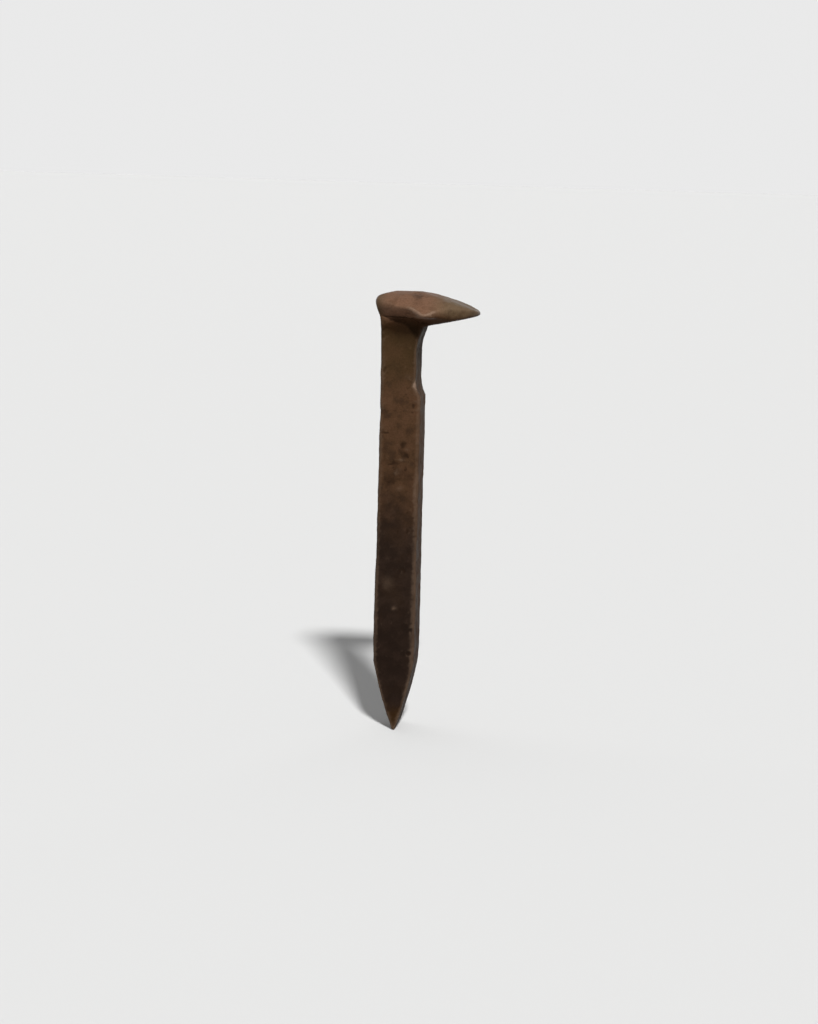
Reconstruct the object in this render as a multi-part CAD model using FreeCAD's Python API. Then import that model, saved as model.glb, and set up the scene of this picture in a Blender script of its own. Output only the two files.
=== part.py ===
"""Cut track spike: a single forging with a square shank, a chisel point and an offset domed head.

Millimetres. +Z runs up the shank towards the head and +X points the way the lip reaches, over the rail's
foot. The origin is on the shank's axis, level with the root of the lip, where the length under the head is
measured from.
"""

import FreeCAD, Part
import math
import os

# Shank
LENGTH_UNDER_HEAD = 152.4
SHANK_SIDE = 15.2
SHANK_EDGE_RADIUS = 1.3
SHANK_TOP = 3.0

# Throat: the neck that the rail's foot has worn into the lip side of the shank
THROAT_DEPTH = 1.9
THROAT_TOP = -1.5
THROAT_BOTTOM = -26.0

# Chisel point: both tapers bulge a little, and the edge stays a little off the shank's axis
POINT_LENGTH = 26.0
POINT_EDGE_THICKNESS = 1.0
POINT_EDGE_OFFSET = 0.8
POINT_BELLY = 0.55

# Head, seen from the side
HEAD_BACK = -10.9
HEAD_NOSE = 27.8
BACK_HEIGHT = 8.3
FLARE_BOTTOM = -14.0
FLARE = 0.6
WAIST_HEIGHT = 3.2
WAIST_OVERHANG = 0.9
SHOULDER_X = -8.6
SHOULDER_HEIGHT = 11.4
SHOULDER_BULGE = 0.35
CROWN_X = 5.0
CROWN_HEIGHT = 12.6
BROW_X = 17.5
BROW_HEIGHT = 9.7
NOSE_THICKNESS = 1.9
LIP_ANGLE = math.radians(13)

# Head, seen from above
HEAD_WIDTH = 31.8
EAR_X = 9.0
BACK_CORNER_X = -9.6
WIDTHS = [(BACK_CORNER_X, 18.4), (-4.5, 23.0), (0.0, 25.8), (4.5, 27.9), (EAR_X, HEAD_WIDTH)]
WIDTHS += [(13.5, 28.3), (18.5, 24.8), (23.5, 18.4)]

# Head, seen from the front: a cap that falls like a roof to a thin rim, and the flanks of the lip below it
RIM_TOP = 5.0
RIM_BOTTOM = 4.1
EAVES_WIDTH = 24.0
EAVES_HEIGHT = 8.4
SPRING_WIDTH = 15.0
SPRING_HEIGHT = 11.1
LIP_FLANK_WIDTH = 24.6
LIP_FLANK_HEIGHT = 3.3
LIP_ROOT_WIDTH = 16.4
NECK_WIDTH = 11.2

# The collar: behind the ears, the underside of the head's overhang is higher than the root of the lip
COLLAR_HEIGHT = 3.4
COLLAR_END = 4.0
COLLAR_FOOT = 8.2

HALF_SIDE = SHANK_SIDE / 2
WELL_OUTSIDE = 60.0


def vec(x, y, z):
    return FreeCAD.Vector(x, y, z)


def line(start, end):
    return Part.LineSegment(start, end).toShape()


def arc(start, middle, end):
    return Part.Arc(start, middle, end).toShape()


def smooth(points):
    """One smooth curve through a few points."""
    curve = Part.BSplineCurve()
    curve.interpolate(points)
    return curve.toShape()


def prism(edges, half):
    """The closed outline swept both ways, by half and by minus half."""
    outline = Part.Face(Part.Wire(edges))
    outline.translate(half.negative())
    return outline.extrude(half * 2)


def lip_height(x):
    """Height of the sloping underside of the lip, which matches the slope on top of a rail's foot."""
    return (x - HALF_SIDE) * math.tan(LIP_ANGLE)


def make_bar():
    """The square bar that the spike is forged from, with its long edges rounded."""
    corner = vec(-HALF_SIDE, -HALF_SIDE, -LENGTH_UNDER_HEAD)
    bar = Part.makeBox(SHANK_SIDE, SHANK_SIDE, LENGTH_UNDER_HEAD + SHANK_TOP, corner)
    long_edges = [edge for edge in bar.Edges if edge.BoundBox.ZLength > SHANK_SIDE]
    return bar.makeFillet(SHANK_EDGE_RADIUS, long_edges)


def make_throat():
    """The shallow hollow under the lip, cut across the bar: long and even, with a short ledge at its foot."""
    length = THROAT_TOP - THROAT_BOTTOM
    shape = [(0, 0), (0.2, 0.9), (0.55, 1), (0.85, 0.85), (1, 0)]
    wall = [vec(HALF_SIDE - THROAT_DEPTH * depth, 0, THROAT_TOP - length * down) for down, depth in shape]
    return prism([smooth(wall), line(wall[-1], wall[0])], vec(0, WELL_OUTSIDE, 0))


def make_point_waste(side):
    """What is drawn away from the lip's side of the bar, 1, or from its back, -1, to leave the taper."""
    edge_x = POINT_EDGE_OFFSET + side * POINT_EDGE_THICKNESS / 2
    start = vec(side * HALF_SIDE, 0, POINT_LENGTH - LENGTH_UNDER_HEAD)
    end = vec(edge_x, 0, -LENGTH_UNDER_HEAD)
    belly = (start + end) / 2 + vec(side * POINT_BELLY, 0, 0)
    below = vec(edge_x, 0, -LENGTH_UNDER_HEAD - SHANK_SIDE)
    outside = vec(side * WELL_OUTSIDE, 0, below.z)
    above = vec(side * WELL_OUTSIDE, 0, start.z)
    corners = [end, below, outside, above, start]
    outline = [arc(start, belly, end)] + [line(a, b) for a, b in zip(corners, corners[1:])]
    return prism(outline, vec(0, WELL_OUTSIDE, 0))


def make_shank():
    return make_bar().cut([make_throat(), make_point_waste(1), make_point_waste(-1)])


def head_side_profile():
    """The head from the side: flared back, rounded shoulder, crown, blunt nose and sloping lip."""
    nose_start = HEAD_NOSE - NOSE_THICKNESS / 2
    flare = vec(-HALF_SIDE, 0, FLARE_BOTTOM)
    neck_back = vec(-HALF_SIDE - FLARE, 0, 0)
    waist = vec(-HALF_SIDE - WAIST_OVERHANG, 0, WAIST_HEIGHT)
    back = vec(HEAD_BACK, 0, BACK_HEIGHT)
    shoulder = vec(SHOULDER_X, 0, SHOULDER_HEIGHT)
    shoulder_middle = (back + shoulder) / 2 + vec(-SHOULDER_BULGE, 0, SHOULDER_BULGE)
    crown = vec(CROWN_X, 0, CROWN_HEIGHT)
    brow = vec(BROW_X, 0, BROW_HEIGHT)
    upper_nose = vec(nose_start, 0, lip_height(nose_start) + NOSE_THICKNESS)
    tip = vec(HEAD_NOSE, 0, lip_height(HEAD_NOSE) + NOSE_THICKNESS / 2)
    lower_nose = vec(nose_start, 0, lip_height(nose_start))
    root = vec(HALF_SIDE, 0, 0)
    neck = vec(0, 0, FLARE_BOTTOM)
    return [
        smooth([flare, neck_back, waist, back]),
        arc(back, shoulder_middle, shoulder),
        smooth([shoulder, crown, brow, upper_nose]),
        arc(upper_nose, tip, lower_nose),
        line(lower_nose, root),
        line(root, neck),
        line(neck, flare),
    ]


def head_plan():
    """The head from above: a rounded back, an ear on each side near the lip's root, and a round nose."""
    near = [vec(x, -width / 2, 0) for x, width in WIDTHS]
    far = [vec(x, width / 2, 0) for x, width in reversed(WIDTHS)]
    nose = vec(HEAD_NOSE, 0, 0)
    back = vec(HEAD_BACK, 0, 0)
    return [smooth(near + [nose] + far), arc(far[-1], back, near[0])]


def head_front_profile():
    """The head from the front: the cap, the thin rim of the ears, the flanks of the lip, and the neck."""
    cap = [(RIM_TOP, HEAD_WIDTH), (EAVES_HEIGHT, EAVES_WIDTH), (SPRING_HEIGHT, SPRING_WIDTH)]
    under = [(RIM_BOTTOM, HEAD_WIDTH), (LIP_FLANK_HEIGHT, LIP_FLANK_WIDTH), (0, LIP_ROOT_WIDTH)]
    under += [(0, NECK_WIDTH), (FLARE_BOTTOM, NECK_WIDTH)]
    near_cap = [vec(0, -width / 2, z) for z, width in cap]
    far_cap = [vec(0, width / 2, z) for z, width in reversed(cap)]
    far_under = [vec(0, width / 2, z) for z, width in under]
    near_under = [vec(0, -width / 2, z) for z, width in reversed(under)]
    corners = [far_cap[-1]] + far_under + near_under + [near_cap[0]]
    dome = smooth(near_cap + [vec(0, 0, CROWN_HEIGHT)] + far_cap)
    return [dome] + [line(a, b) for a, b in zip(corners, corners[1:])]


def make_collar_relief(side):
    """What is hollowed out beside the shank, under the head, on the +Y side, 1, or the -Y side, -1."""
    end = vec(COLLAR_END, 0, COLLAR_HEIGHT)
    foot = vec(COLLAR_FOOT, 0, 0)
    below = vec(COLLAR_FOOT, 0, -WELL_OUTSIDE)
    outside = vec(-WELL_OUTSIDE, 0, -WELL_OUTSIDE)
    above = vec(-WELL_OUTSIDE, 0, COLLAR_HEIGHT)
    corners = [end, foot, below, outside, above, end]
    relief = prism([line(a, b) for a, b in zip(corners, corners[1:])], vec(0, WELL_OUTSIDE, 0))
    relief.translate(vec(0, side * (HALF_SIDE + WELL_OUTSIDE), 0))
    return relief


def make_head():
    """The head is what its side view, its plan and its front view have in common."""
    side = prism(head_side_profile(), vec(0, WELL_OUTSIDE, 0))
    plan = prism(head_plan(), vec(0, 0, WELL_OUTSIDE))
    front = prism(head_front_profile(), vec(WELL_OUTSIDE, 0, 0))
    head = side.common(plan).common(front)
    return head.cut([make_collar_relief(1), make_collar_relief(-1)])


def main():
    os.makedirs("parts", exist_ok=True)
    spike = make_head().fuse(make_shank()).removeSplitter()
    print("solids", len(spike.Solids), "valid", spike.isValid(), "volume mm3", round(spike.Volume))
    print("box", spike.BoundBox)
    spike.Solids[0].exportStep("parts/rail_spike.step")


main()
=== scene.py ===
import bpy
import math
import numpy as np
from mathutils import Matrix, Vector, noise


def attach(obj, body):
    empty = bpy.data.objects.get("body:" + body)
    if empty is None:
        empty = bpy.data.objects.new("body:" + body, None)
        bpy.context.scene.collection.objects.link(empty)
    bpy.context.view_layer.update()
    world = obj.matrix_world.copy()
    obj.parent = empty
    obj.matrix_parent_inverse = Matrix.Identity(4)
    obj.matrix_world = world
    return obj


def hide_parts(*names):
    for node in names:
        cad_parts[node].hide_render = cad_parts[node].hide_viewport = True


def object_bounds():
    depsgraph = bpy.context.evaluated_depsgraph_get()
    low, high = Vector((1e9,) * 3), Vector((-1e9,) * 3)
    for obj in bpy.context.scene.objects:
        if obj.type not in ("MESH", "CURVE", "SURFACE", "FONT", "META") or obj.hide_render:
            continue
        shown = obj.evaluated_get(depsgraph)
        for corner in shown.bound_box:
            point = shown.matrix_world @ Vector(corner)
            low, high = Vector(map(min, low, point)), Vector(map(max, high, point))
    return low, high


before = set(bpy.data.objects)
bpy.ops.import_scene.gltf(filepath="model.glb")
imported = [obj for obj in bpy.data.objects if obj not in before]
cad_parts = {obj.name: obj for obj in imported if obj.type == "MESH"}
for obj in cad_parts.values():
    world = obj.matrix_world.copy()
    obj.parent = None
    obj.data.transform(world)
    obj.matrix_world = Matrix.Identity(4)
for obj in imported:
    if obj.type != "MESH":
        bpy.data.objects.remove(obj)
cad_low, cad_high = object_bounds()

# Blender works in metres. Everything measured on the spike is in millimetres, and MM turns it into metres.
MM = 0.001

# The spike. X points to the lip, and Z is 0 where the shank meets the head.
HALF_SIDE = 7.6           # half the width of the bar
FLARE = 0.6               # how far the back of the bar flares out, just below the head
FLARE_BOTTOM = -14.0      # where the flare has died away
BROW_HEIGHT = 7.4         # the ridge between the top and the side of the head, at the back
BROW_DIP = 2.9            # how much lower that ridge is at the ear
SIDE_CURL = 2.7           # how far the side of the head curls in below the ridge
LOWER_EXTRA = 0.22        # what rust has left on each side of the lower shank
LARGE_PIT_DEPTH = 0.22
SMALL_PIT_DEPTH = 0.09
FLAKE_HEIGHT = 0.06
FULL_RELIEF = 0.08        # the rise or depth that the material sees as 1 or -1
VOXEL = 0.36

# Camera, with angles in degrees and places in metres
VIEW_AZIMUTH = 8.1
VIEW_ELEVATION = 9.0
VIEW_ROLL = 1.65
VIEW_DISTANCE = 0.8333
VIEW_TARGET = Vector((0.00346, 0.0, -0.06997))
LENS_MM = 78.1
SENSOR_MM = 36.0

# Floor, in metres
FLOOR_HALF = 20.0
FLOOR_COLOUR = (0.608, 0.608, 0.604, 1.0)


# ---------------------------------------------------------------- stage

def direction(azimuth, elevation):
    """Unit vector towards a point seen at that azimuth and elevation. Azimuth 0 is on the -Y side."""
    a, e = math.radians(azimuth), math.radians(elevation)
    return Vector((math.sin(a) * math.cos(e), -math.cos(a) * math.cos(e), math.sin(e)))


def add_camera():
    data = bpy.data.cameras.new("camera")
    data.lens = LENS_MM
    data.sensor_width = SENSOR_MM
    camera = bpy.data.objects.new("camera", data)
    towards = direction(VIEW_AZIMUTH, VIEW_ELEVATION)
    turn = towards.to_track_quat("Z", "Y").to_matrix() @ Matrix.Rotation(math.radians(VIEW_ROLL), 3, "Z")
    camera.matrix_world = Matrix.Translation(VIEW_TARGET + towards * VIEW_DISTANCE) @ turn.to_4x4()
    bpy.context.scene.collection.objects.link(camera)
    bpy.context.scene.camera = camera


def add_lamp(name, azimuth, elevation, strength, spread):
    """A sun lamp, which lights the floor evenly. Spread is how wide it looks, in degrees."""
    data = bpy.data.lights.new(name, "SUN")
    data.energy = strength
    data.angle = math.radians(spread)
    light = bpy.data.objects.new(name, data)
    towards = direction(azimuth, elevation)
    light.location = VIEW_TARGET + towards
    light.rotation_euler = towards.to_track_quat("Z", "Y").to_euler()
    bpy.context.scene.collection.objects.link(light)


def add_world():
    """A studio cove: bright where it meets the floor, and dimmer overhead."""
    world = bpy.data.worlds.new("world")
    world.use_nodes = True
    nodes, links = world.node_tree.nodes, world.node_tree.links
    coordinates = nodes.new("ShaderNodeTexCoord")
    split = nodes.new("ShaderNodeSeparateXYZ")
    height = nodes.new("ShaderNodeMapRange")
    height.interpolation_type = "SMOOTHSTEP"
    fade = {"From Min": 0.20, "From Max": 0.45, "To Min": 0.82, "To Max": 0.08}
    for name, value in fade.items():
        height.inputs[name].default_value = value
    links.new(coordinates.outputs["Generated"], split.inputs[0])
    links.new(split.outputs["Z"], height.inputs["Value"])
    links.new(height.outputs["Result"], nodes["Background"].inputs["Strength"])
    nodes["Background"].inputs["Color"].default_value = (1.0, 1.0, 1.0, 1.0)
    bpy.context.scene.world = world


def add_floor():
    mesh = bpy.data.meshes.new("floor")
    ends = ((-1, -1), (1, -1), (1, 1), (-1, 1))
    corners = [(i * FLOOR_HALF, j * FLOOR_HALF, cad_low.z) for i, j in ends]
    mesh.from_pydata(corners, [], [(0, 1, 2, 3)])
    floor = bpy.data.objects.new("floor", mesh)
    material = bpy.data.materials.new("floor")
    material.use_nodes = True
    shader = material.node_tree.nodes["Principled BSDF"]
    shader.inputs["Base Color"].default_value = FLOOR_COLOUR
    shader.inputs["Roughness"].default_value = 0.9
    mesh.materials.append(material)
    bpy.context.scene.collection.objects.link(floor)


# ---------------------------------------------------------------- the forging's mesh

def remeshed_copy(source):
    """An even quad mesh over the whole forging."""
    work = bpy.data.objects.new("work", source.data.copy())
    bpy.context.scene.collection.objects.link(work)
    remesh = work.modifiers.new("remesh", "REMESH")
    remesh.mode = "VOXEL"
    remesh.voxel_size = VOXEL * MM
    bpy.context.view_layer.update()
    mesh = bpy.data.meshes.new_from_object(work.evaluated_get(bpy.context.evaluated_depsgraph_get()))
    bpy.data.objects.remove(work)
    return mesh


class Surface:
    """Vertex places in millimetres, with the edges that join them."""

    def __init__(self, mesh):
        self.mesh = mesh
        count = len(mesh.vertices)
        flat = np.empty(count * 3)
        mesh.vertices.foreach_get("co", flat)
        self.co = flat.reshape(count, 3) / MM
        ends = np.empty(len(mesh.edges) * 2, dtype=np.int64)
        mesh.edges.foreach_get("vertices", ends)
        self.ends = ends.reshape(-1, 2)
        self.valence = np.bincount(ends, minlength=count).astype(float)

    def neighbour_mean(self, values):
        """For each vertex, the mean of values over its neighbours. values is N or N by 3."""
        columns = values.reshape(len(self.co), -1)
        a, b = self.ends.T
        out = np.empty_like(columns)
        for i in range(columns.shape[1]):
            total = np.bincount(a, columns[b, i], len(self.co))
            total += np.bincount(b, columns[a, i], len(self.co))
            out[:, i] = total / self.valence
        return out.reshape(values.shape)

    def smoothed(self, values, passes, strength=0.5):
        for _ in range(passes):
            values = values + (self.neighbour_mean(values) - values) * strength
        return values

    def write(self):
        self.mesh.vertices.foreach_set("co", (self.co * MM).ravel())
        self.mesh.update()

    def normals(self):
        self.write()
        flat = np.empty(len(self.co) * 3)
        self.mesh.vertex_normals.foreach_get("vector", flat)
        return flat.reshape(-1, 3)

    def push(self, distance):
        """Moves each vertex along its normal."""
        self.co = self.co + self.normals() * distance[:, None]

    def stands_out(self, passes):
        """How far each vertex stands out from the form that so many smoothing passes leave."""
        form = self.smoothed(self.co, passes)
        return ((self.co - form) * self.normals()).sum(axis=1)


def fbm(co, scale, octaves, seed):
    """Smooth noise around 0 for each place, with features about scale millimetres across."""
    shift = Vector((17.3 * seed, -9.1 * seed, 4.7 * seed))
    return np.array([noise.fractal(Vector(p) / scale + shift, 1.0, 2.0, octaves) for p in co])


def cells(co, scale, seed):
    """Distance from each place to the nearest of a cloud of random points, from 0 to about 1, as a share of
    scale, which is about how far apart the points are.
    """
    shift = Vector((5.9 * seed, 3.3 * seed, -7.7 * seed))
    return np.array([noise.voronoi(Vector(p) / scale + shift)[0][0] for p in co])


def ragged(co, amount, scale, seed):
    """The places, shifted by up to about amount, so that what is drawn at them has a ragged outline."""
    shifts = [fbm(co, scale, 2, seed + axis) for axis in range(3)]
    return co + amount * np.stack(shifts, axis=1)


def ramp(values, start, end):
    """0 before start, 1 after end, smooth between. Works either way round."""
    t = np.clip((values - start) / (end - start), 0, 1)
    return t * t * (3 - 2 * t)


def bump(co, centre, size):
    """A smooth hill of height 1 at centre that dies away over size, both in millimetres."""
    d = (co - np.array(centre)) / np.array(size)
    return np.exp(-(d * d).sum(axis=1))


def brow_height(x):
    """Height of the ridge between the top and the side of the head, which dips towards the ear."""
    return BROW_HEIGHT - BROW_DIP * ramp(x, 2.0, 9.5)


def turn_under(surface):
    """From the back to the ear, the side of the head curls in towards the collar."""
    x, y, z = surface.co.T
    below_brow = ramp(z - brow_height(x), 0.2, -3.6)
    above_collar = ramp(z, -1.0, 2.0)
    behind_ear = 1 - ramp(x, 8.5, 11.5)
    curl = below_brow * above_collar * behind_ear
    inward = -np.sign(y) * SIDE_CURL * curl * ramp(np.abs(y), 7.2, 10.0)
    surface.co = surface.co + np.stack([0 * x, inward, 0 * z], axis=1)


def widen_flare(surface):
    """The flare below the back of the head takes in the whole width of the bar, corners included."""
    x, y, z = surface.co.T
    flare = FLARE * np.clip(1 - z / FLARE_BOTTOM, 0, 1)
    at_back_corner = ramp(np.abs(y), 5.3, 5.8) * ramp(x, -4.0, -6.5)
    flared = np.maximum(x - flare * at_back_corner, -HALF_SIDE - flare)
    surface.co = np.stack([np.where(z < 0.2, flared, x), y, z], axis=1)


def soften_forms(surface):
    """Rounds what hammering and rust take off. The brow over each ear and the nose stay the crispest."""
    x, _, z = surface.co.T
    nose = ramp(x, 24.0, 26.5)[:, None]
    crisp = surface.smoothed(surface.co, 2)
    sharp = surface.smoothed(crisp, 3)
    soft = surface.smoothed(sharp, 26)
    softest = surface.smoothed(soft, 54)
    sharp = sharp * (1 - nose) + crisp * nose
    brow = np.zeros(len(z))
    for side in (-1, 1):
        brow = np.maximum(brow, bump(surface.co, (6.8, side * 14.6, 6.0), (6.6, 4.5, 4.0)))
    above_neck = ramp(z, -7, -1)
    behind_nose = 1 - ramp(x, 20, 25)
    off_brow = np.clip(1.0 - 1.5 * brow, 0, 1)
    head = (above_neck * behind_nose * off_brow)[:, None]
    lip = (ramp(x, 11.0, 14.5) * behind_nose * ramp(z, 2.0, 4.5))[:, None]
    rounded = soft * (1 - lip) + softest * lip
    surface.co = sharp * (1 - head) + rounded * head


def add_forging_marks(surface):
    """Waves left by the hammer and by uneven rusting, and a lower shank that has lost less than the rest."""
    broad = fbm(surface.co, scale=15.0, octaves=2, seed=1)
    middle = fbm(surface.co, scale=5.5, octaves=3, seed=2)
    z = surface.co[:, 2]
    lower_shank = ramp(z, -70, -108) * ramp(z, -131, -120)
    surface.push(0.20 * broad + 0.10 * middle + LOWER_EXTRA * lower_shank)


# Marks on the near face: x, z, half width, half height, rise, and tone. Tone is below 0 for dark rust,
# up to 1 for worn metal and 2 for freshly rubbed metal.
NEAR_MARKS = [
    (5.9, -21.5, 1.2, 2.4, -0.35, 2.0),
    (2.6, -18.8, 1.8, 1.2, 0.10, 0.40),
    (1.5, -43.6, 1.2, 1.2, -0.26, -0.65),
    (3.1, -45.4, 1.2, 0.9, 0.12, 0.35),
    (1.2, -46.2, 1.6, 1.5, -0.28, -0.65),
    (2.8, -47.9, 1.3, 1.1, -0.30, -0.75),
    (1.3, -49.4, 1.1, 0.9, 0.16, 0.55),
    (-1.6, -51.0, 1.9, 1.2, -0.28, -0.6),
    (-0.5, -53.9, 1.8, 1.6, 0.25, 0.45),
    (0.5, -60.0, 2.2, 1.7, 0.22, 0.40),
    (-3.0, -57.6, 2.2, 2.6, -0.20, -0.9),
    (6.0, -62.0, 1.0, 2.8, 0.20, 0.35),
    (0.4, -77.0, 2.4, 3.5, -0.15, -0.5),
    (-2.9, -96.0, 2.8, 3.2, 0.15, 0.50),
    (0.6, -102.0, 3.6, 4.5, 0.0, 0.22),
    (-0.1, -105.6, 1.1, 0.9, 0.18, 0.60),
    (-0.8, -124.0, 2.4, 0.9, 0.08, 0.15),
]


def add_near_marks(surface):
    """Raises and sinks the marks, with ragged outlines, and returns their tone for the material.
    A scratch, a low step across the face and a painted highlight on the shoulder of the head come with them.
    """
    _, y, z = surface.co.T
    near = ramp(y, -5.0, -6.5)
    places = ragged(surface.co, amount=0.6, scale=2.6, seed=31)
    depth = 3.0
    rise = np.zeros(len(near))
    tone = np.zeros(len(near))
    for mark_x, mark_z, width, height, amount, colour in NEAR_MARKS:
        hill = bump(places, (mark_x, -HALF_SIDE, mark_z), (width, depth, height))
        rise += amount * hill
        tone += colour * hill
    scratch = bump(places, (-5.2, -HALF_SIDE, -39.6), (1.9, depth, 0.5))
    step = ramp(z, -31.4, -30.6) * ramp(z, -23, -30) * 0.10
    surface.push((rise - 0.18 * scratch + step) * near)
    # Painted highlight on the back shoulder of the head, carried in the tone.
    shoulder_highlight = bump(places, (-6.5, -8.5, 10.4), (3.6, depth, 1.3))
    return (tone - 0.4 * scratch) * near + 0.7 * shoulder_highlight


# Hammer dents on the head: place, size and depth
HEAD_DENTS = [
    ((-1.5, -12.0, 8.4), (3.6, 3.0, 1.7), 0.40),
    ((12.5, -9.0, 10.0), (4.0, 3.5, 2.0), 0.25),
    ((-6.0, 5.0, 11.5), (4.0, 4.5, 2.0), 0.30),
    ((3.0, 11.5, 8.5), (4.0, 3.0, 2.0), 0.35),
    ((18.0, 5.0, 9.0), (4.5, 4.0, 2.5), 0.25),
]


def add_head_dents(surface):
    depth = np.zeros(len(surface.co))
    for centre, size, amount in HEAD_DENTS:
        depth += amount * bump(surface.co, centre, size)
    surface.push(-depth)


def add_pits(surface):
    """Rust pits of two sizes, gathered in patches, and flakes of scale that stand a little proud."""
    places = ragged(surface.co, amount=0.9, scale=2.2, seed=21)
    patches = ramp(fbm(surface.co, scale=10.0, octaves=2, seed=5), 0.0, 0.5)
    large = ramp(cells(places, scale=3.6, seed=6), 0.42, 0.05)
    small = ramp(cells(places, scale=1.5, seed=7), 0.48, 0.08)
    flakes = ramp(fbm(surface.co, scale=3.4, octaves=3, seed=8), 0.0, 0.3)
    pits = -LARGE_PIT_DEPTH * large * patches - SMALL_PIT_DEPTH * small * (0.25 + 0.75 * patches)
    surface.push(pits + FLAKE_HEIGHT * flakes)


def wear_edges(surface):
    """Nibbles the corners: what stands out from the smoothed form is worn back by an uneven amount."""
    spared = 0.06
    nibble = ramp(fbm(surface.co, scale=4.5, octaves=3, seed=11), -0.1, 0.5)
    wear = np.clip(surface.stands_out(30) - spared, 0, 1) * nibble * 0.55
    surface.push(-wear)


def keep_in_box(surface):
    """The forging stays inside the box of the designed part."""
    margin = 0.01
    low = np.array(cad_low) / MM + margin
    high = np.array(cad_high) / MM - margin
    surface.co = np.clip(surface.co, low, high)


def store(surface, name, values):
    """Keeps a number for each vertex, for the material to read."""
    attribute = surface.mesh.attributes.new(name, "FLOAT", "POINT")
    attribute.data.foreach_set("value", values.astype(np.float32))


def store_relief(surface):
    """Stores relief, above 0 on bumps and below 0 in pits, and edge, 1 along the corners."""
    store(surface, "relief", np.clip(surface.stands_out(10) / FULL_RELIEF, -1, 1))
    store(surface, "edge", ramp(surface.stands_out(60), 0.10, 0.45))


def store_places(surface):
    """Stores where shade is painted below the head, 1 where it is darkest, and lip_side, 1 where the surface
    faces the rail.
    """
    x, _, z = surface.co.T
    normals = surface.normals()
    # Painted shade: it darkens surfaces that face down under the head, the corners where the collar meets the
    # bar and the throat below the lip, and a little less on the curl under the brow.
    less_shade = 0.65 * ramp(z, 1.2, 4.0) * ramp(x, 12, 8)
    under_head = ramp(normals[:, 2], 0.35, -0.40) * ramp(z, -4, 0) * (1 - less_shade)
    corners = [bump(surface.co, (1.5, side * 7, 0.0), (8, 5, 5)) for side in (-1, 1)]
    throat = 0.8 * bump(surface.co, (6.5, 0, -9.0), (2.0, 10, 12))
    store(surface, "painted_shade", np.clip(under_head + sum(corners) + throat, 0, 1))
    store(surface, "lip_side", ramp(surface.smoothed(normals[:, 0], 8), 0.30, 0.90))


def sculpt(surface):
    turn_under(surface)
    widen_flare(surface)
    soften_forms(surface)
    add_forging_marks(surface)
    add_head_dents(surface)
    tone = add_near_marks(surface)
    add_pits(surface)
    wear_edges(surface)
    surface.co = surface.smoothed(surface.co, passes=1, strength=0.4)
    keep_in_box(surface)
    surface.write()
    store_relief(surface)
    store_places(surface)
    store(surface, "tone", tone)


# ---------------------------------------------------------------- the material

class Graph:
    """A short way to write shader nodes. A value is a number, a colour or another node's output."""

    def __init__(self, material):
        material.use_nodes = True
        self.tree = material.node_tree
        self.shader = self.tree.nodes["Principled BSDF"]
        coordinates = self.node("ShaderNodeTexCoord")
        scale = self.node("ShaderNodeVectorMath", operation="SCALE")
        scale.inputs["Scale"].default_value = 1 / MM
        self.tree.links.new(coordinates.outputs["Object"], scale.inputs[0])
        self.place = scale.outputs[0]
        split = self.node("ShaderNodeSeparateXYZ")
        self.tree.links.new(self.place, split.inputs[0])
        self.x, self.y, self.z = split.outputs

    def node(self, kind, **settings):
        made = self.tree.nodes.new(kind)
        for name, value in settings.items():
            setattr(made, name, value)
        return made

    def feed(self, socket, value):
        if isinstance(value, bpy.types.NodeSocket):
            self.tree.links.new(value, socket)
        elif isinstance(value, tuple) and len(value) == 3:
            socket.default_value = (*value, 1.0)
        else:
            socket.default_value = value

    def noise(self, size, detail, seed, roughness=0.55):
        """Noise from 0 to 1 with features about size millimetres across."""
        mapping = self.node("ShaderNodeMapping")
        mapping.inputs["Location"].default_value = (seed * 13.7, seed * -7.1, seed * 3.9)
        self.feed(mapping.inputs["Vector"], self.place)
        made = self.node("ShaderNodeTexNoise")
        self.feed(made.inputs["Vector"], mapping.outputs[0])
        made.inputs["Scale"].default_value = 1 / size
        made.inputs["Detail"].default_value = detail
        made.inputs["Roughness"].default_value = roughness
        return made.outputs["Fac"]

    def attribute(self, name):
        return self.node("ShaderNodeAttribute", attribute_name=name).outputs["Fac"]

    def span(self, value, start, end, low=0.0, high=1.0):
        """Turns start to end into low to high, smoothly, and holds outside."""
        made = self.node("ShaderNodeMapRange", interpolation_type="SMOOTHSTEP")
        names = ("Value", "From Min", "From Max", "To Min", "To Max")
        for name, number in zip(names, (value, start, end, low, high)):
            self.feed(made.inputs[name], number)
        return made.outputs["Result"]

    def math(self, operation, a, b=0.0):
        made = self.node("ShaderNodeMath", operation=operation)
        self.feed(made.inputs[0], a)
        self.feed(made.inputs[1], b)
        return made.outputs[0]

    def mix(self, amount, a, b, blend="MIX"):
        """Colour a where amount is 0 and b where it is 1. Inputs 6 and 7 and output 2 are the colour ones."""
        made = self.node("ShaderNodeMix", data_type="RGBA", blend_type=blend)
        self.feed(made.inputs[0], amount)
        self.feed(made.inputs[6], a)
        self.feed(made.inputs[7], b)
        return made.outputs[2]

    def tinted(self, colour, tint):
        return self.mix(1.0, colour, tint, "MULTIPLY")


class RustGraph(Graph):
    """A graph with what the parts of the rust share: numbers stored in the mesh, and noise of three sizes."""

    def __init__(self, material):
        super().__init__(material)
        self.relief = self.attribute("relief")
        self.edge = self.attribute("edge")
        self.tone = self.attribute("tone")
        # Where shade is painted below the head
        self.painted_shade = self.attribute("painted_shade")
        self.lip_side = self.attribute("lip_side")
        self.blotch = self.noise(size=11.0, detail=4, seed=1)
        self.mottle = self.noise(size=4.6, detail=5, seed=2)
        self.grain = self.noise(size=0.6, detail=4, seed=3, roughness=0.65)


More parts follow.
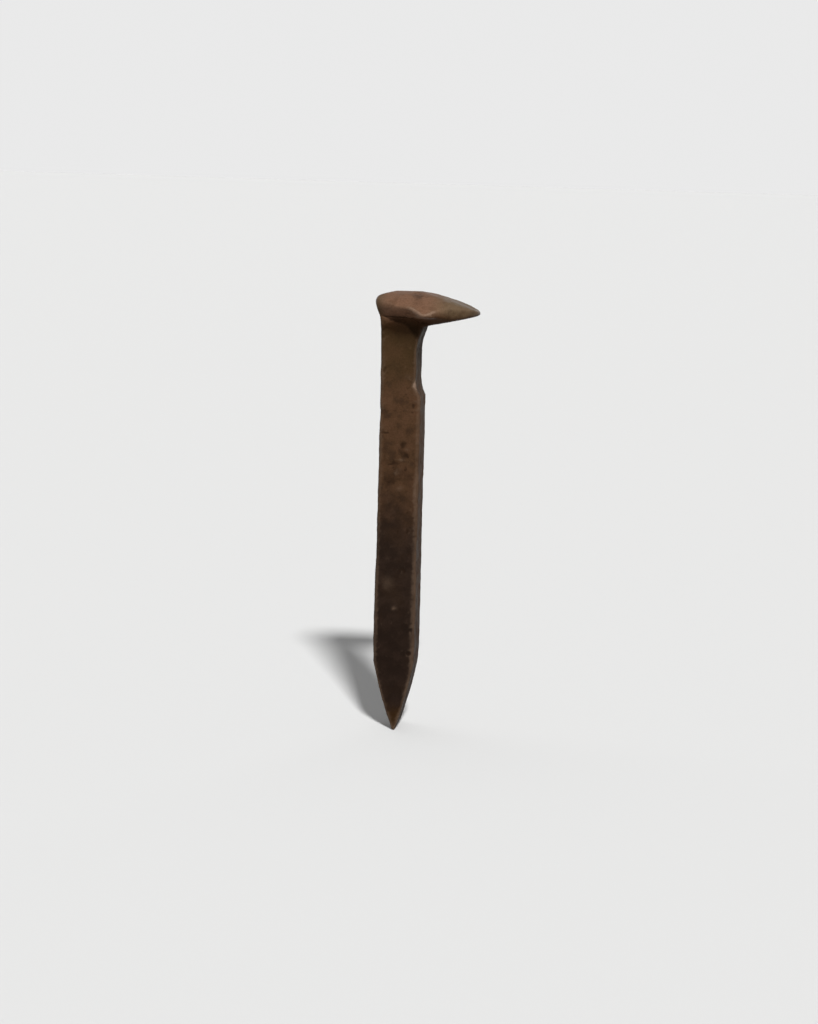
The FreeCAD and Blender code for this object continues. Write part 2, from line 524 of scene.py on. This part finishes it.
# Colours, linear
RUST = (0.046, 0.0232, 0.0112)
RUST_WARM = (0.056, 0.0280, 0.0145)
RUST_DARK = (0.029, 0.0150, 0.0082)
OLIVE = (0.033, 0.0185, 0.0075)
HEAD_BACK = (0.068, 0.0400, 0.0185)
HEAD_BROWN = (0.130, 0.0690, 0.0420)
HEAD_GREY = (0.098, 0.0660, 0.0375)
SCALE_DARK = (0.0100, 0.0058, 0.0044)
SCALE_BROWN = (0.0165, 0.0098, 0.0072)
PIT_DARK = (0.0120, 0.0056, 0.0028)
# Worn metal, and the colour of the painted highlight on the shoulder of the head
WORN_AND_HIGHLIGHT = (0.105, 0.0700, 0.0480)
# Freshly rubbed metal, and the colour of the painted highlight along the ridge over each ear
HAMMERED_AND_HIGHLIGHT = (0.240, 0.1650, 0.1200)
TIP_RUST = (0.0210, 0.0095, 0.0028)

# Tints, which colours are multiplied by
LOWEST_TINT = (0.82, 0.80, 0.82)
# Tint of the painted shade below the head
PAINTED_SHADE_TINT = (0.28, 0.19, 0.12)
GRAIN_TINT = (0.60, 0.55, 0.50)

# Zones of colour: where each begins and where it is full, along Z or along X
HEAD_Z = (-1.0, 5.5)
NECK_Z = (-26, -12)
DARKER_Z = (-30, -52)
SCALE_Z = (-55, -86)
LOWEST_Z = (-104, -114)
POINT_Z = (-135, -143)
LIP_X = (8.0, 20.0)
BACK_X = (-5.0, -10.0)


def plain_colour(g):
    """Brown rust on the shank, olive on the neck, and lighter browns on the head."""
    shank = g.mix(g.span(g.mottle, 0.42, 0.62), RUST, RUST_WARM)
    shank = g.mix(g.span(g.mottle, 0.48, 0.36, 0.0, 0.75), shank, RUST_DARK)
    olive = g.math("MULTIPLY", g.span(g.z, *NECK_Z), g.span(g.blotch, 0.25, 0.6, 0.5, 1.0))
    shank = g.mix(olive, shank, OLIVE)
    head = g.mix(g.span(g.x, *LIP_X), HEAD_BROWN, HEAD_GREY)
    head = g.mix(g.span(g.x, *BACK_X), head, HEAD_BACK)
    head = g.mix(g.span(g.mottle, 0.50, 0.36, 0.0, 0.35), head, RUST_WARM)
    return g.mix(g.span(g.z, *HEAD_Z), shank, head)


def with_scale(g, body):
    """Dark scale on the lower half, with less of it on the rail side, which paints that side lighter as a
    painted reflection, and rust again at the point.
    """
    uneven_z = g.math("ADD", g.z, g.math("MULTIPLY", g.math("SUBTRACT", g.blotch, 0.5), 40.0))
    # Less scale on the rail side: a painted reflection that keeps that side lighter.
    low = g.math("MULTIPLY", g.span(uneven_z, *SCALE_Z), g.span(g.lip_side, 0.0, 1.0, 1.0, 0.2))
    body = g.mix(low, body, g.mix(g.span(g.mottle, 0.40, 0.62), SCALE_DARK, SCALE_BROWN))
    body = g.mix(g.span(g.z, *DARKER_Z, 0.0, 0.16), body, PIT_DARK)
    body = g.mix(g.span(g.z, *LOWEST_Z), body, g.tinted(body, LOWEST_TINT))
    tip = g.span(g.math("ADD", g.z, g.math("MULTIPLY", g.mottle, 10.0)), *POINT_Z)
    return g.mix(tip, body, TIP_RUST)


def with_marks(g, body):
    """Dark blotches, the marks of the near face, dark pits and lighter bumps."""
    body = g.mix(g.span(g.blotch, 0.54, 0.72, 0.0, 0.45), body, PIT_DARK)
    body = g.mix(g.span(g.tone, -0.05, -0.9, 0.0, 0.65), body, PIT_DARK)
    # Tone above 0 lightens: worn metal, and the painted highlight on the shoulder of the head.
    body = g.mix(g.span(g.tone, 0.05, 1.1, 0.0, 0.55), body, WORN_AND_HIGHLIGHT)
    body = g.mix(g.span(g.tone, 0.8, 1.5, 0.0, 0.55), body, HAMMERED_AND_HIGHLIGHT)
    body = g.mix(g.span(g.relief, -0.05, -0.9, 0.0, 0.6), body, PIT_DARK)
    return g.mix(g.span(g.relief, 0.15, 0.9, 0.0, 0.22), body, WORN_AND_HIGHLIGHT)


def with_wear(g, body):
    """Worn metal along the corners, in patches on the far side, and a painted highlight along the ridge over
    each ear.
    """
    worn = g.math("MULTIPLY", g.edge, g.span(g.blotch, 0.36, 0.58, 0.0, 0.30))
    patchy = g.math("MAXIMUM", g.span(g.y, 2.0, -2.0), g.span(g.mottle, 0.46, 0.60))
    body = g.mix(g.math("MULTIPLY", worn, patchy), body, WORN_AND_HIGHLIGHT)
    # Painted highlight along the ridge over each ear, on its raised places.
    ear = g.math("MULTIPLY", g.span(g.x, 1.5, 5.0), g.span(g.x, 16.0, 12.5))
    brow = g.math("MULTIPLY", ear, g.span(g.z, 3.0, 4.5))
    ridge_highlight = g.math("MULTIPLY", brow, g.span(g.relief, 0.55, 1.0, 0.0, 0.34))
    return g.mix(ridge_highlight, body, HAMMERED_AND_HIGHLIGHT)


def rust_colour(g):
    """Rust with scale, marks and wear, then painted shade below the head and dark grain over everything."""
    body = with_wear(g, with_marks(g, with_scale(g, plain_colour(g))))
    # Painted shade under the head, in the collar corners and in the throat.
    body = g.mix(g.math("MULTIPLY", g.painted_shade, 0.9), body, g.tinted(body, PAINTED_SHADE_TINT))
    return g.mix(g.span(g.grain, 0.35, 0.7, 0.0, 0.5), body, g.tinted(body, GRAIN_TINT))


def rust_roughness(g):
    """Matt rust, smoother on the head, which the hammer struck, and along worn edges, rougher in pits."""
    rough = g.span(g.mottle, 0.3, 0.7, 0.56, 0.78)
    rough = g.math("SUBTRACT", rough, g.span(g.z, -1.0, 5.0, 0.0, 0.12))
    rough = g.math("ADD", rough, g.span(g.relief, 0.0, -0.8, 0.0, 0.14))
    return g.math("SUBTRACT", rough, g.math("MULTIPLY", g.edge, 0.14))


def rust_grain(g):
    """A normal that is roughened by fine and finer grain."""
    fine = g.math("MULTIPLY", g.noise(size=1.3, detail=3, seed=4), 0.16)
    height = g.math("ADD", g.math("MULTIPLY", g.grain, 0.08), fine)
    bumps = g.node("ShaderNodeBump")
    bumps.inputs["Distance"].default_value = MM
    bumps.inputs["Strength"].default_value = 0.7
    g.feed(bumps.inputs["Height"], height)
    return bumps.outputs[0]


def rust_material():
    material = bpy.data.materials.new("rusted_steel_surface")
    g = RustGraph(material)
    g.feed(g.shader.inputs["Base Color"], rust_colour(g))
    g.feed(g.shader.inputs["Roughness"], rust_roughness(g))
    g.feed(g.shader.inputs["Normal"], rust_grain(g))
    g.shader.inputs["IOR"].default_value = 1.3
    g.shader.inputs["Specular IOR Level"].default_value = 0.18
    g.shader.inputs["Specular Tint"].default_value = (1.0, 0.74, 0.52, 1.0)
    return material


def add_spike():
    mesh = remeshed_copy(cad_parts["rail_spike"])
    sculpt(Surface(mesh))
    mesh.materials.clear()
    mesh.materials.append(rust_material())
    mesh.shade_smooth()
    spike = bpy.data.objects.new("rail_spike_forging", mesh)
    bpy.context.scene.collection.objects.link(spike)
    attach(spike, "root")
    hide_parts("rail_spike")


bpy.context.scene.view_settings.view_transform = "Standard"
add_camera()
add_world()
add_floor()
add_lamp("key_light", azimuth=18.0, elevation=46.0, strength=4.4, spread=6.0)
add_lamp("fill_light", azimuth=205.0, elevation=32.0, strength=0.9, spread=90.0)
add_spike()
